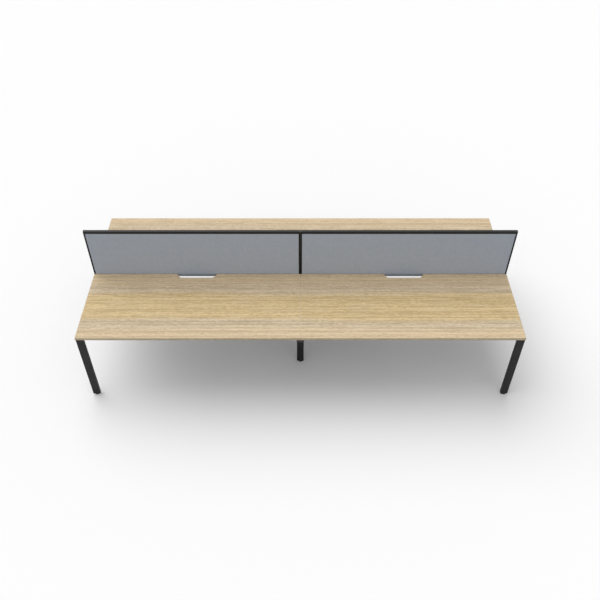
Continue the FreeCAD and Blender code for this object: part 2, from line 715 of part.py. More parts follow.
def foot_parts():
    """The plugs in the legs, and each leg's own pad and stem."""
    yield "leg_plugs", group(leg_plugs())
    for name, x, y in leg_places():
        yield name + "_foot_pad", placed(foot_pad(), Vector(x, y, 0))
        yield name + "_foot_stem", placed(foot_stem(), Vector(x, y, 0))


def screen_parts():
    """The two screens and what carries them."""
    for end_name, end in ENDS.items():
        screen = end_name + "_screen_"
        yield screen + "top_rail", screen_top_rail(end)
        yield screen + "bottom_rail", screen_bottom_rail(end)
        yield screen + "outer_stile", screen_stile(end, -end)
        yield screen + "inner_stile", screen_stile(end, end)
        yield screen + "core", panel_layer(end, -CORE_THICKNESS / 2, CORE_THICKNESS)
        for side_name, side in SIDES.items():
            yield screen + side_name + "_fabric", screen_fabric(end, side)
    yield "stile_caps", group(stile_caps())
    yield "screen_corner_screws", group(screen_corner_screws())
    yield "screen_plates", group(screen_plates())
    yield "screen_bolts", group(screen_bolts())


def main():
    """Build every piece and write each to its own file."""
    os.makedirs("parts", exist_ok=True)
    for maker in (desktop_parts, frame_parts, foot_parts, screen_parts):
        for name, shape in maker():
            shape.exportStep("parts/" + name + ".step")


main()
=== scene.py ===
import json
import math
from collections import namedtuple
from functools import partial

import bmesh
import bpy
from mathutils import Matrix, Vector, noise


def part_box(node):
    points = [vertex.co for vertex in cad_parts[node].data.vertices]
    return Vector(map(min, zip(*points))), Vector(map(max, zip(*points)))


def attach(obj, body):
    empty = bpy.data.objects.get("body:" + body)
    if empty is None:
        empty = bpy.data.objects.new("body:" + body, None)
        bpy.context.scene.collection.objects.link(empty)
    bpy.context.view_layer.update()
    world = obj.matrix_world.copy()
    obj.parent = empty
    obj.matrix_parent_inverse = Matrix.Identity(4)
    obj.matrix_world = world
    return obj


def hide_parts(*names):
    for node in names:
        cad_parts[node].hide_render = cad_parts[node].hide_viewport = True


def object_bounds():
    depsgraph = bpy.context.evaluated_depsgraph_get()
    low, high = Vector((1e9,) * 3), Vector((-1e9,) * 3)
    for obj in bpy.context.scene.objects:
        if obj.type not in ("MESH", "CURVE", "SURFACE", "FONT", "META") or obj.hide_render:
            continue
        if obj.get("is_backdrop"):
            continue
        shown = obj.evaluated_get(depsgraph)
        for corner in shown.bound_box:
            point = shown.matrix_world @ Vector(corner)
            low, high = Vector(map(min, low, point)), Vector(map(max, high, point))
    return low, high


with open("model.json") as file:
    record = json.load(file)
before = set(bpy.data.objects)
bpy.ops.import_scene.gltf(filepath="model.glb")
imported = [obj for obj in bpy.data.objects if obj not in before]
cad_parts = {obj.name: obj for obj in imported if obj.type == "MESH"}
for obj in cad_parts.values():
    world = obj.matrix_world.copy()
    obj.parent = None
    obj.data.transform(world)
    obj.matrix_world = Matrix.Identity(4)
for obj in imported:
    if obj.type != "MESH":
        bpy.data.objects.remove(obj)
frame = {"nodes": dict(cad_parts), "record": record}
cad_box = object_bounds()

# Back-to-back workstation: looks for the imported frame, in metres.
# +X runs along the row, +Y from the front seats to the rear seats, +Z up from the floor.
X_AXIS = 0
Z_AXIS = 2
AXES = (0, 1, 2)
FULL_TURN = 2 * math.pi
TINY = 1e-6

# Camera, at the photograph's viewing angle
CAMERA_PLACE = (-0.003, -4.4844, 4.8367)
CAMERA_DOWN = math.radians(44.723)
LENS = 41.664
SENSOR = 36.0

# Studio: an even sky, a large soft lamp above the row and to its left, and a weak lamp in front
SKY_LEVEL = 0.44
KEY_LEVEL = 1.79
KEY_WIDTH = math.radians(66)
KEY_FROM = (-0.44, 0.40, 1.0)
FILL_LEVEL = 0.45
FILL_WIDTH = math.radians(90)
FILL_FROM = (-0.15, -1.0, 0.75)
FLOOR_REACH = 60.0
FLOOR_WHITE = 0.975
FLOOR_BOUNCE = 0.46

# A noise: its changes per metre along and across its lines, its detail, its roughness and its wave
Pattern = namedtuple("Pattern", "along across detail rough wave", defaults=(None, 3, 0.55, 0))

# In every finish a span is the part of a noise that counts, and a relief is a depth and its strength
WHITE = (1, 1, 1, 1)
COMMON_GLOSS = 0.5
NOISE_SPAN = (0.3, 0.7)

# Oak boards and edge bands: the light and the dark grain of each stripe, and the sheet underneath
OAK_PALE = ((0.767, 0.607, 0.394, 1), (0.548, 0.418, 0.261, 1))
OAK_GOLD = ((0.757, 0.576, 0.306, 1), (0.498, 0.359, 0.172, 1))
OAK_SILVER = ((0.728, 0.599, 0.421, 1), (0.462, 0.361, 0.234, 1))
OAK_SATIN = Pattern(30.0, 400.0)
OAK_ROUGHNESS = (0.52, 0.66)
OAK_GLOSS = 0.3
OAK_RELIEF = (0.00005, 0.5)
EDGE_SATIN = Pattern(60.0, 900.0)
EDGE_ROUGHNESS = (0.42, 0.55)
EDGE_GLOSS = 0.35
EDGE_RELIEF = (0.00004, 0.4)
BACKING_GREY = (0.66, 0.66, 0.655, 1)
BACKING_SPAN = (-0.9, -0.6)

# Oak stripes: a golden one along each desktop between two silvery ones, measured from the screens
GOLD_MIDDLE = 0.408
GOLD_HALF = 0.152
SILVER_HALF = 0.252
STRIPE_BLEND = 0.07
STRIPE_WANDER = 0.03
WANDER = Pattern(0.6, 12.0)
WANDER_SPAN = (0.25, 0.75)

# Oak grain: long bands, hand-long figure and finger-long dashes, and how much each of them counts
GrainLayer = namedtuple("GrainLayer", "pattern share")
grain_lines = partial(Pattern, detail=1, rough=0.8, wave=0.4)
GRAIN_LAYERS = [
    GrainLayer(grain_lines(0.18, 45.0), share=0.60),
    GrainLayer(grain_lines(5.0, 110.0), share=0.56),
    GrainLayer(grain_lines(26.0, 230.0), share=0.86),
]
GRAIN_CONTRAST = 0.18

# Fine marks over the oak grain: pale flecks, dark fibres and pores
FLECK_PALE = OAK_SILVER[0]
FIBRE_BROWN = (0.47, 0.36, 0.235, 1)
PORE_BROWN = (0.38, 0.275, 0.165, 1)
Marks = namedtuple("Marks", "colour pattern span strength")
FLECKS = Marks(FLECK_PALE, Pattern(3.0, 130.0, detail=2), span=(0.52, 0.68), strength=0.55)
FIBRES = Marks(FIBRE_BROWN, Pattern(5.0, 420.0), span=(0.46, 0.74), strength=0.40)
PORES = Marks(PORE_BROWN, Pattern(28.0, 1500.0, detail=2), span=(0.60, 0.72), strength=0.50)

# Black powder coat on the steel frame
COAT_BLACK = (0.014, 0.014, 0.015, 1)
COAT_WORN = (0.022, 0.022, 0.023, 1)
COAT_CLOUD = Pattern(14.0)
COAT_CLOUD_SPAN = (0.35, 0.7)
COAT_PEEL = Pattern(900.0, detail=2)
COAT_ROUGHNESS = (0.42, 0.58)
COAT_GLOSS = 0.2
COAT_RELIEF = (0.00008, 0.5)

# Satin black extrusions of the screen frames
FRAME_BLACK = (0.009, 0.009, 0.009, 1)
FRAME_SHEEN = (0.014, 0.014, 0.014, 1)
FRAME_LINES = Pattern(2.0, 1400.0, detail=2)
FRAME_LINE_SPAN = (0.4, 0.7)
FRAME_ROUGHNESS = (0.36, 0.48)
FRAME_RELIEF = (0.00002, 0.4)
RAIL_GLOSS = 0.26
STILE_GLOSS = 0.10

# Grey cloth, woven of mottled yarn
CLOTH_GREY = (0.440, 0.490, 0.572, 1)
CLOTH_LIGHT = (0.495, 0.545, 0.632, 1)
CLOTH_DARK = (0.378, 0.426, 0.502, 1)
YARN = Pattern(40.0, 700.0, detail=2)
YARN_DARK_SPAN = (0.36, 0.5)
YARN_LIGHT_SPAN = (0.5, 0.66)
THREAD_PITCH = 0.0016
CLOTH_ROUGHNESS = 0.92
CLOTH_GLOSS = 0.15
CLOTH_SHEEN = 0.12
CLOTH_SHEEN_ROUGHNESS = 0.5
CLOTH_RELIEF = (0.00012, 0.5)

# Fibreboard in the screens
BOARD_LIGHT = (0.50, 0.40, 0.28, 1)
BOARD_DARK = (0.38, 0.30, 0.20, 1)
BOARD_FIBRE = Pattern(260.0, detail=5, rough=0.7)
BOARD_ROUGHNESS = (0.75, 0.92)
BOARD_RELIEF = (0.0001, 0.5)

# Black moulded plastic
PLASTIC_BLACK = (0.014, 0.014, 0.014, 1)
PLASTIC_DUST = (0.024, 0.024, 0.023, 1)
DUST = Pattern(45.0, detail=4)
DUST_SPAN = (0.45, 0.75)
PLASTIC_SPECKS = Pattern(1300.0)
PLASTIC_ROUGHNESS = (0.48, 0.66)
PLASTIC_RELIEF = (0.00005, 0.5)

# Zinc plate on the fasteners and stems
ZINC_LIGHT = (0.66, 0.67, 0.68, 1)
ZINC_DARK = (0.47, 0.475, 0.48, 1)
ZINC_CLOUD = Pattern(180.0, detail=4)
ZINC_CLOUD_SPAN = (0.35, 0.68)
ZINC_ROUGHNESS = (0.28, 0.46)
ZINC_GRIT = Pattern(2500.0, detail=2)
ZINC_RELIEF = (0.00001, 0.4)

# Cloth sheets: how thick, how far they crown past their hidden edges, and how fine their mesh is
CLOTH_THICKNESS = 0.0007
CLOTH_CROWN = 0.0019
CLOTH_HIDDEN = 0.0058
CLOTH_ROLL = 0.020
CLOTH_RIPPLE = 0.00006
CLOTH_RIPPLE_PITCH = 0.09
CLOTH_COLUMNS = 120
CLOTH_ROWS = 32

# Added pieces: the bend that stays a crisp edge, points round a ring, and a sixth of a turn for hexagons
SHARP_EDGE = math.radians(35)
RING_POINTS = 48
HEXAGON = math.radians(60)

# Bolts with a hexagon socket: their sizes, and shares of the head, socket or shank
Bolt = namedtuple("Bolt", "head_height shank socket socket_depth")
BEAM_BOLT = Bolt(head_height=0.0033, shank=0.003, socket=0.002, socket_depth=0.0021)
SCREEN_BOLT = Bolt(head_height=0.0028, shank=0.0025, socket=0.0015, socket_depth=0.0017)
DOME_PROFILE = [(0.62, 0.07), (0.84, 0.28), (0.96, 0.58), (1.0, 0.86), (1.0, 1.0)]
SOCKET_MOUTH = 0.06
SOCKET_RIM = 1.32
BOLT_TIP_LENGTH = 0.3
BOLT_TIP = 0.75

# Screws with a cross recess: their sizes, and shares of the head, recess or shank
Screw = namedtuple("Screw", "shank arm half_width depth mouth")
WOOD_SCREW = Screw(shank=0.002, arm=0.0021, half_width=0.00055, depth=0.0017, mouth=0.000192)
CORNER_SCREW = Screw(shank=0.00175, arm=0.0016, half_width=0.00045, depth=0.0011, mouth=0.0001)
WOOD_SCREW_HEAD = 0.0024
WOOD_SCREW_POINT = 0.003
WOOD_SCREW_TIP = 0.1
CORNER_SCREW_TIP = 0.4
PAN_PROFILE = [(0.80, 0.16), (0.95, 0.45), (1.0, 0.8), (1.0, 1.0)]
RECESS_FLOOR_ARM = 0.45
RECESS_FLOOR_WIDTH = 0.8
RECESS_RIM = 1.12
RIM_SHARE = 0.98

# Levelling stems, with a hexagon collar between the pad and the plug
STEM_RADIUS = 0.00495
STEM_ROOT = 0.0042
STEM_PITCH = 0.0015
STEM_STEPS = 6
STEM_FLANK = 1.5
STEM_END = 0.9
STEM_TOP = 0.85
COLLAR_HALF = 0.0085
COLLAR_CHAMFER = 0.0006
COLLAR_CORNER = 1.12
COLLAR_FACE = 1.02

# Weld beads on the steel frame
BEAM_WIDTH = 0.025
BEAM_ROUND = 0.0025
END_PLATE = 0.004
BEAD_RADIUS = 0.0021
BEAD_SINK = 0.0007
BEAD_RIPPLE = 0.00035
BEAD_PITCH = 0.0024
BEAD_STEP = 0.0008
BEAD_SIDES = 8
BEAD_END = 0.003


def new_material(name, gloss=COMMON_GLOSS):
    """A node material with its tree and its shader."""
    material = bpy.data.materials.new(name)
    material.use_nodes = True
    shader = material.node_tree.nodes["Principled BSDF"]
    shader.inputs["Specular IOR Level"].default_value = gloss
    return material, material.node_tree, shader


def grain(tree, pattern, lines="XYZ"):
    """Noise in a pattern, with its lines along some of the axes or the same all ways."""
    coords = tree.nodes.new("ShaderNodeTexCoord")
    mapping = tree.nodes.new("ShaderNodeMapping")
    texture = tree.nodes.new("ShaderNodeTexNoise")
    rate = [pattern.along if axis in lines else pattern.across for axis in "XYZ"]
    mapping.inputs["Scale"].default_value = rate
    texture.inputs["Scale"].default_value = 1
    texture.inputs["Detail"].default_value = pattern.detail
    texture.inputs["Roughness"].default_value = pattern.rough
    texture.inputs["Distortion"].default_value = pattern.wave
    tree.links.new(coords.outputs["Object"], mapping.inputs["Vector"])
    tree.links.new(mapping.outputs["Vector"], texture.inputs["Vector"])
    return texture.outputs["Fac"]


def rescale(tree, value, span, result=(0, 1), curve="SMOOTHSTEP"):
    """Turns a span of one value smoothly into another that runs between two numbers."""
    node = tree.nodes.new("ShaderNodeMapRange")
    node.interpolation_type = curve
    for name, number in zip(("From Min", "From Max", "To Min", "To Max"), (*span, *result)):
        node.inputs[name].default_value = number
    tree.links.new(value, node.inputs["Value"])
    return node.outputs["Result"]


def maths(tree, operation, first, second=0):
    """One step of arithmetic on one or two values: each is a socket or a plain number."""
    node = tree.nodes.new("ShaderNodeMath")
    node.operation = operation
    for socket, value in zip(node.inputs, (first, second)):
        if isinstance(value, (int, float)):
            socket.default_value = value
        else:
            tree.links.new(value, socket)
    return node.outputs["Value"]


def blend(tree, factor, first, second):
    """A colour between two colours: each is a socket or a plain colour."""
    node = tree.nodes.new("ShaderNodeMix")
    node.data_type = "RGBA"
    tree.links.new(factor, node.inputs["Factor"])
    for name, value in (("A", first), ("B", second)):
        socket = [s for s in node.inputs if s.name == name and s.type == "RGBA"][0]
        if isinstance(value, tuple):
            socket.default_value = value
        else:
            tree.links.new(value, socket)
    return [s for s in node.outputs if s.type == "RGBA"][0]


def paint(tree, shader, colour):
    """Gives a surface its colour."""
    tree.links.new(colour, shader.inputs["Base Color"])


def roughen(tree, shader, value, roughness):
    """Gives a surface a roughness that follows a noise, between two levels."""
    tree.links.new(rescale(tree, value, NOISE_SPAN, roughness), shader.inputs["Roughness"])


def raise_bumps(tree, shader, height, relief):
    """Gives a surface its fine relief."""
    depth, strength = relief
    node = tree.nodes.new("ShaderNodeBump")
    node.inputs["Distance"].default_value = depth
    node.inputs["Strength"].default_value = strength
    tree.links.new(height, node.inputs["Height"])
    tree.links.new(node.outputs["Normal"], shader.inputs["Normal"])


def axis_value(tree, axis):
    """The place along one axis, from the part's origin."""
    coords = tree.nodes.new("ShaderNodeTexCoord")
    split = tree.nodes.new("ShaderNodeSeparateXYZ")
    tree.links.new(coords.outputs["Object"], split.inputs["Vector"])
    return split.outputs[axis]


def oak_grain(tree, along):
    """Light and dark grain: long bands, broken up by shorter figure and by dashes."""
    total = 0.0
    for layer in GRAIN_LAYERS:
        value = maths(tree, "MULTIPLY", grain(tree, layer.pattern, along), layer.share)
        total = maths(tree, "ADD", value, total)
    middle = sum(layer.share for layer in GRAIN_LAYERS) / 2
    return rescale(tree, total, (middle - GRAIN_CONTRAST, middle + GRAIN_CONTRAST), curve="SMOOTHERSTEP")


def oak_stripes(tree, dark):
    """A desktop's broad stripes: gold in the middle, silver on both sides of it, pale outside."""
    reach = maths(tree, "ABSOLUTE", axis_value(tree, "Y"))
    offset = maths(tree, "ABSOLUTE", maths(tree, "SUBTRACT", reach, GOLD_MIDDLE))
    wander = rescale(tree, grain(tree, WANDER, "X"), WANDER_SPAN, (-STRIPE_WANDER, STRIPE_WANDER))
    offset = maths(tree, "ADD", offset, wander)
    colour = blend(tree, dark, *OAK_PALE)
    for half, oak in ((SILVER_HALF, OAK_SILVER), (GOLD_HALF, OAK_GOLD)):
        inside = rescale(tree, offset, (half - STRIPE_BLEND / 2, half + STRIPE_BLEND / 2), (1, 0))
        colour = blend(tree, inside, colour, blend(tree, dark, *oak))
    return colour


def oak_marks(tree, along, marks):
    """How strongly one kind of fine mark shows, from nothing to its full strength."""
    return rescale(tree, grain(tree, marks.pattern, along), marks.span, (0, marks.strength))


def oak_surface(tree, shader, colour, along, relief):
    """The fine marks over an oak colour, and the relief of its pores."""
    for marks in (FLECKS, FIBRES):
        colour = blend(tree, oak_marks(tree, along, marks), colour, marks.colour)
    pores = oak_marks(tree, along, PORES)
    raise_bumps(tree, shader, maths(tree, "SUBTRACT", 1, pores), relief)
    return blend(tree, pores, colour, PORES.colour)


def underside(tree):
    """One on surfaces that look down, zero elsewhere."""
    geometry = tree.nodes.new("ShaderNodeNewGeometry")
    split = tree.nodes.new("ShaderNodeSeparateXYZ")
    tree.links.new(geometry.outputs["True Normal"], split.inputs["Vector"])
    return rescale(tree, split.outputs["Z"], BACKING_SPAN, (1, 0))


def oak_board():
    """Pale oak decor with its grain along the row, and a plain grey backing sheet underneath."""
    material, tree, shader = new_material("oak_board", OAK_GLOSS)
    colour = oak_stripes(tree, oak_grain(tree, "X"))
    colour = oak_surface(tree, shader, colour, "X", OAK_RELIEF)
    paint(tree, shader, blend(tree, underside(tree), colour, BACKING_GREY))
    roughen(tree, shader, grain(tree, OAK_SATIN, "X"), OAK_ROUGHNESS)
    return material


def oak_edge():
    """The edge band: the same oak, with its grain along the edge."""
    material, tree, shader = new_material("oak_edge", EDGE_GLOSS)
    colour = blend(tree, oak_grain(tree, "XY"), *OAK_SILVER)
    paint(tree, shader, oak_surface(tree, shader, colour, "XY", EDGE_RELIEF))
    roughen(tree, shader, grain(tree, EDGE_SATIN, "XY"), EDGE_ROUGHNESS)
    return material


def powder_coat():
    """Black powder coat with a fine orange-peel skin."""
    material, tree, shader = new_material("powder_coat", COAT_GLOSS)
    cloud = rescale(tree, grain(tree, COAT_CLOUD), COAT_CLOUD_SPAN)
    peel = grain(tree, COAT_PEEL)
    paint(tree, shader, blend(tree, cloud, COAT_BLACK, COAT_WORN))
    roughen(tree, shader, peel, COAT_ROUGHNESS)
    raise_bumps(tree, shader, peel, COAT_RELIEF)
    return material


def satin_frame(name, along, gloss):
    """Satin black extrusion with faint lines along its length."""
    material, tree, shader = new_material(name, gloss)
    lines = grain(tree, FRAME_LINES, along)
    paint(tree, shader, blend(tree, rescale(tree, lines, FRAME_LINE_SPAN), FRAME_BLACK, FRAME_SHEEN))
    roughen(tree, shader, lines, FRAME_ROUGHNESS)
    raise_bumps(tree, shader, lines, FRAME_RELIEF)
    return material


def threads(tree, axis):
    """Rounded threads side by side along one axis."""
    turn = maths(tree, "MULTIPLY", axis_value(tree, axis), FULL_TURN / THREAD_PITCH)
    return maths(tree, "SINE", turn)


def woven_cloth():
    """Plain grey weave in mottled yarn."""
    material, tree, shader = new_material("woven_cloth", CLOTH_GLOSS)
    both = maths(tree, "ADD", grain(tree, YARN, "Z"), grain(tree, YARN, "X"))
    yarn = maths(tree, "DIVIDE", both, 2)
    colour = blend(tree, rescale(tree, yarn, YARN_DARK_SPAN), CLOTH_DARK, CLOTH_GREY)
    paint(tree, shader, blend(tree, rescale(tree, yarn, YARN_LIGHT_SPAN), colour, CLOTH_LIGHT))
    weave = maths(tree, "MULTIPLY", threads(tree, "X"), threads(tree, "Z"))
    raise_bumps(tree, shader, maths(tree, "ADD", weave, yarn), CLOTH_RELIEF)
    shader.inputs["Roughness"].default_value = CLOTH_ROUGHNESS
    shader.inputs["Sheen Weight"].default_value = CLOTH_SHEEN
    shader.inputs["Sheen Roughness"].default_value = CLOTH_SHEEN_ROUGHNESS
    return material


def fibreboard():
    """The screens' core board: pressed wood fibre."""
    material, tree, shader = new_material("fibreboard")
    fibre = grain(tree, BOARD_FIBRE)
    paint(tree, shader, blend(tree, fibre, BOARD_LIGHT, BOARD_DARK))
    roughen(tree, shader, fibre, BOARD_ROUGHNESS)
    raise_bumps(tree, shader, fibre, BOARD_RELIEF)
    return material


def moulded_plastic():
    """Black moulded plastic with a spark-eroded grain."""
    material, tree, shader = new_material("moulded_plastic")
    dust = rescale(tree, grain(tree, DUST), DUST_SPAN)
    specks = grain(tree, PLASTIC_SPECKS)
    paint(tree, shader, blend(tree, dust, PLASTIC_BLACK, PLASTIC_DUST))
    roughen(tree, shader, specks, PLASTIC_ROUGHNESS)
    raise_bumps(tree, shader, specks, PLASTIC_RELIEF)
    return material


def zinc_plate():
    """Zinc-plated steel with a cloudy surface."""
    material, tree, shader = new_material("zinc_plate")
    cloud = grain(tree, ZINC_CLOUD)
    paint(tree, shader, blend(tree, rescale(tree, cloud, ZINC_CLOUD_SPAN), ZINC_LIGHT, ZINC_DARK))
    roughen(tree, shader, cloud, ZINC_ROUGHNESS)
    raise_bumps(tree, shader, grain(tree, ZINC_GRIT), ZINC_RELIEF)
    shader.inputs["Metallic"].default_value = 1
    return material


def dress_frame(materials):
    """Gives every node of the frame the finish of its slot, and the stiles their own."""
    for part in frame["record"]["subparts"]:
        node = frame["nodes"][part["node"]]
        finish = "screen_stile" if part["node"].endswith("_stile") else part["material_slot"]
        node.data.materials.clear()
        node.data.materials.append(materials[finish])


def finished(name, mesh, material, body):
    """An object from a bmesh, with soft shading between its sharp edges, riding on a body."""
    data = bpy.data.meshes.new(name)
    bmesh.ops.recalc_face_normals(mesh, faces=mesh.faces)
    mesh.to_mesh(data)
    mesh.free()
    data.materials.append(material)
    data.shade_smooth()
    data.set_sharp_from_angle(angle=SHARP_EDGE)
    piece = bpy.data.objects.new(name, data)
    bpy.context.scene.collection.objects.link(piece)
    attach(piece, body)
    return piece


def ring(radius_at, height):
    """Points round local z, as far out as a function of the angle says."""
    angles = [FULL_TURN * step / RING_POINTS for step in range(RING_POINTS)]
    return [Vector((radius_at(a) * math.cos(a), radius_at(a) * math.sin(a), height)) for a in angles]


def circle(radius):
    """A round ring's distance at every angle."""
    return lambda angle: radius


def hexagon(half_flats):
    """A hexagon's distance at an angle."""
    return lambda angle: half_flats / math.cos((angle + HEXAGON / 2) % HEXAGON - HEXAGON / 2)


def cross(arm, half_width):
    """A cross recess's distance at an angle."""
    def distance(angle):
        across = max(abs(math.cos(angle)), TINY)
        up = max(abs(math.sin(angle)), TINY)
        return max(min(arm / across, half_width / up), min(arm / up, half_width / across))
    return distance


def skin(mesh, rings, place=Matrix()):
    """Joins rings of points into one closed skin."""
    rows = [[mesh.verts.new(place @ point) for point in points] for points in rings]
    for low, high in zip(rows, rows[1:]):
        for index in range(len(low)):
            after = (index + 1) % len(low)
            mesh.faces.new((low[index], low[after], high[after], high[index]))
    mesh.faces.new(list(reversed(rows[0])))
    mesh.faces.new(rows[-1])


def loose_pieces(node):
    """The separate pieces of a node, each as a list of its points."""
    mesh = bmesh.new()
    mesh.from_mesh(node.data)
    bmesh.ops.remove_doubles(mesh, verts=mesh.verts, dist=TINY)
    seen = set()
    found = []
    for start in mesh.verts:
        reached = [] if start in seen else [start]
        seen.add(start)
        for vert in reached:
            fresh = {edge.other_vert(vert) for edge in vert.link_edges} - seen
            seen |= fresh
            reached += fresh
        if reached:
            found.append([vert.co.copy() for vert in reached])
    mesh.free()
    return found


def fastener_places(node, axis):
    """For each fastener of a node: where its head's face is, its length and its head's radius."""
    for points in loose_pieces(node):
        low = Vector([min(p[i] for p in points) for i in AXES])
        high = Vector([max(p[i] for p in points) for i in AXES])
        middle = (low + high) / 2
        across = [i for i in AXES if i != axis]
        radius = max(high[i] - low[i] for i in across) / 2
        edge = RIM_SHARE * radius
        rim = [p[axis] for p in points if max(abs(p[i] - middle[i]) for i in across) > edge]
        inward = 1 if sum(rim) / len(rim) < middle[axis] else -1
        middle[axis] = low[axis] if inward > 0 else high[axis]
        way = Vector([inward if i == axis else 0 for i in AXES])
        turn = way.to_track_quat("Z", "Y").to_matrix().to_4x4()
        yield Matrix.Translation(middle) @ turn, high[axis] - low[axis], radius


def round_head(profile, radius, height):
    """A head's rings from its face down, by a profile in shares of its radius and height."""
    return [ring(circle(radius * out), height * down) for out, down in profile]


def socket_bolt(bolt, length, head):
    """A domed bolt with a hexagon socket: its face at zero, its tip at its length."""
    return [
        ring(hexagon(bolt.socket), bolt.socket_depth),
        ring(hexagon(bolt.socket), bolt.head_height * SOCKET_MOUTH),
        ring(circle(bolt.socket * SOCKET_RIM), 0),
        *round_head(DOME_PROFILE, head, bolt.head_height),
        ring(circle(bolt.shank), bolt.head_height),
        ring(circle(bolt.shank), length - bolt.shank * BOLT_TIP_LENGTH),
        ring(circle(bolt.shank * BOLT_TIP), length),
    ]


def cross_recess(screw):
    """A recess's rings, from its narrow floor to the flat round its mouth."""
    floor = cross(screw.arm * RECESS_FLOOR_ARM, screw.half_width * RECESS_FLOOR_WIDTH)
    return [
        ring(floor, screw.depth),
        ring(cross(screw.arm, screw.half_width), screw.mouth),
        ring(circle(screw.arm * RECESS_RIM), 0),
    ]


def wood_screw(length, head):
    """A wood screw with a rounded head and a cross recess."""
    shank = WOOD_SCREW.shank
    return [
        *cross_recess(WOOD_SCREW),
        *round_head(PAN_PROFILE, head, WOOD_SCREW_HEAD),
        ring(circle(shank), WOOD_SCREW_HEAD),
        ring(circle(shank), length - WOOD_SCREW_POINT),
        ring(circle(shank * WOOD_SCREW_TIP), length),
    ]


def corner_screw(length, head):
    """A flush screw with a cross recess."""
    shank = CORNER_SCREW.shank
    return [
        *cross_recess(CORNER_SCREW),
        ring(circle(head), 0),
        ring(circle(shank), head - shank),
        ring(circle(shank), length - shank),
        ring(circle(shank * CORNER_SCREW_TIP), length),
    ]


def fasteners(name, node_name, axis, shape, material):
    """All the fasteners of a node, each where its plain solid is."""
    node = frame["nodes"][node_name]
    mesh = bmesh.new()
    for place, length, radius in fastener_places(node, axis):
        skin(mesh, shape(length, radius), place)
    piece = finished(name, mesh, material, "desk")
    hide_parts(node_name)


def thread_radius(rise):
    """A thread's distance from its axis at an angle, a rise above its start."""
    def distance(angle):
        turn = (rise / STEM_PITCH - angle / FULL_TURN) % 1
        crest = min(abs(2 * turn - 1) * STEM_FLANK, 1)
        fade = min(rise / STEM_PITCH, 1)
        return STEM_ROOT + (STEM_RADIUS - STEM_ROOT) * crest * fade
    return distance


def collar(corner):
    """The collar's distance at an angle: a hexagon with its corners turned down."""
    return lambda angle: min(hexagon(COLLAR_HALF)(angle), COLLAR_HALF * corner)


def stem_rings(low, pad, plug, high):
    """A stem from its end in the pad to its top: plain rod, hexagon collar and thread."""
    rings = [
        ring(circle(STEM_RADIUS * STEM_END), low),
        ring(circle(STEM_RADIUS), low + COLLAR_CHAMFER),
        ring(circle(STEM_RADIUS), pad),
        ring(collar(COLLAR_FACE), pad),
        ring(collar(COLLAR_CORNER), pad + COLLAR_CHAMFER),
        ring(collar(COLLAR_CORNER), plug - COLLAR_CHAMFER),
        ring(collar(COLLAR_FACE), plug),
        ring(circle(STEM_ROOT), plug),
    ]
    length = high - plug - COLLAR_CHAMFER
    steps = int(length / STEM_PITCH * STEM_STEPS)
    for step in range(1, steps):
        rise = length * step / steps
        rings.append(ring(thread_radius(rise), plug + rise))
    rings.append(ring(circle(STEM_ROOT * STEM_TOP), high))
    return rings


def threaded_stems(material):
    """A threaded stem in place of each plain one, on its own body."""
    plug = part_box("leg_plugs")[0][Z_AXIS]
    for name in frame["nodes"]:
        if name.endswith("_foot_stem"):
            leg = name[:-len("_foot_stem")]
            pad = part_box(leg + "_foot_pad")[1][Z_AXIS]
            low, high = (Vector(corner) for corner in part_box(name))
            middle = Vector(((low.x + high.x) / 2, (low.y + high.y) / 2, 0))
            mesh = bmesh.new()
            skin(mesh, stem_rings(low.z, pad, plug, high.z), Matrix.Translation(middle))
            piece = finished(leg + "_threaded_stem", mesh, material, leg + "_stem")
            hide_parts(name)


def even_steps(low, high, count):
    """Values from low to high in a count of even steps."""
    return [low + (high - low) * step / count for step in range(count + 1)]


def cloth_offset(x, z, low, high, side):
    """How far the padded cloth stands off its board: a crown inside its edges, with a faint ripple."""
    edge = min(x - low.x, high.x - x, z - low.z, high.z - z)
    rise = min(max((edge - CLOTH_HIDDEN) / CLOTH_ROLL, 0), 1)
    up = (z - low.z) / (high.z - low.z)
    ripple = CLOTH_RIPPLE * noise.noise(Vector((x, side, z)) / CLOTH_RIPPLE_PITCH)
    return CLOTH_THICKNESS + CLOTH_CROWN * rise * (2 - rise) + ripple * min(up, 1 - up)


def facing_out(piece, side):
    """Whether a flat piece's faces look away from the middle of the row."""
    return piece.data.polygons[0].normal.y * side > 0


def stretched_cloth(node_name, material):
    """One face's cloth, stretched over the core board with its edges in the frame's channels."""
    low, high = (Vector(corner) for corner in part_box(node_name))
    side = 1 if low.y > 0 else -1
    board = low.y if side > 0 else high.y
    mesh = bmesh.new()
    rows = []
    for z in even_steps(low.z, high.z, CLOTH_ROWS):
        points = []
        for x in even_steps(low.x, high.x, CLOTH_COLUMNS):
            y = board + side * cloth_offset(x, z, low, high, side)
            points.append(mesh.verts.new((x, y, z)))
        rows.append(points)
    for below, above in zip(rows, rows[1:]):
        for index in range(CLOTH_COLUMNS):
            corners = (below[index], below[index + 1], above[index + 1], above[index])
            mesh.faces.new(corners[::-side])
    piece = finished(node_name + "_cloth", mesh, material, "desk")
    solidify = piece.modifiers.new("thickness", "SOLIDIFY")
    solidify.thickness = CLOTH_THICKNESS
    solidify.offset = -1 if facing_out(piece, side) else 1
    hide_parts(node_name)


def screen_cloths(material):
    """The cloth on both faces of both screens."""
    for end in ("left", "right"):
        for side in ("front", "rear"):
            stretched_cloth(f"{end}_screen_{side}_fabric", material)


def bead_points(stops):
    """Close points along straight runs between stops."""
    points = []
    for start, stop in zip(stops, stops[1:]):
        count = max(int((stop - start).length / BEAD_STEP), 1)
        points += [start.lerp(stop, step / count) for step in range(count)]
    return points + [stops[-1]]


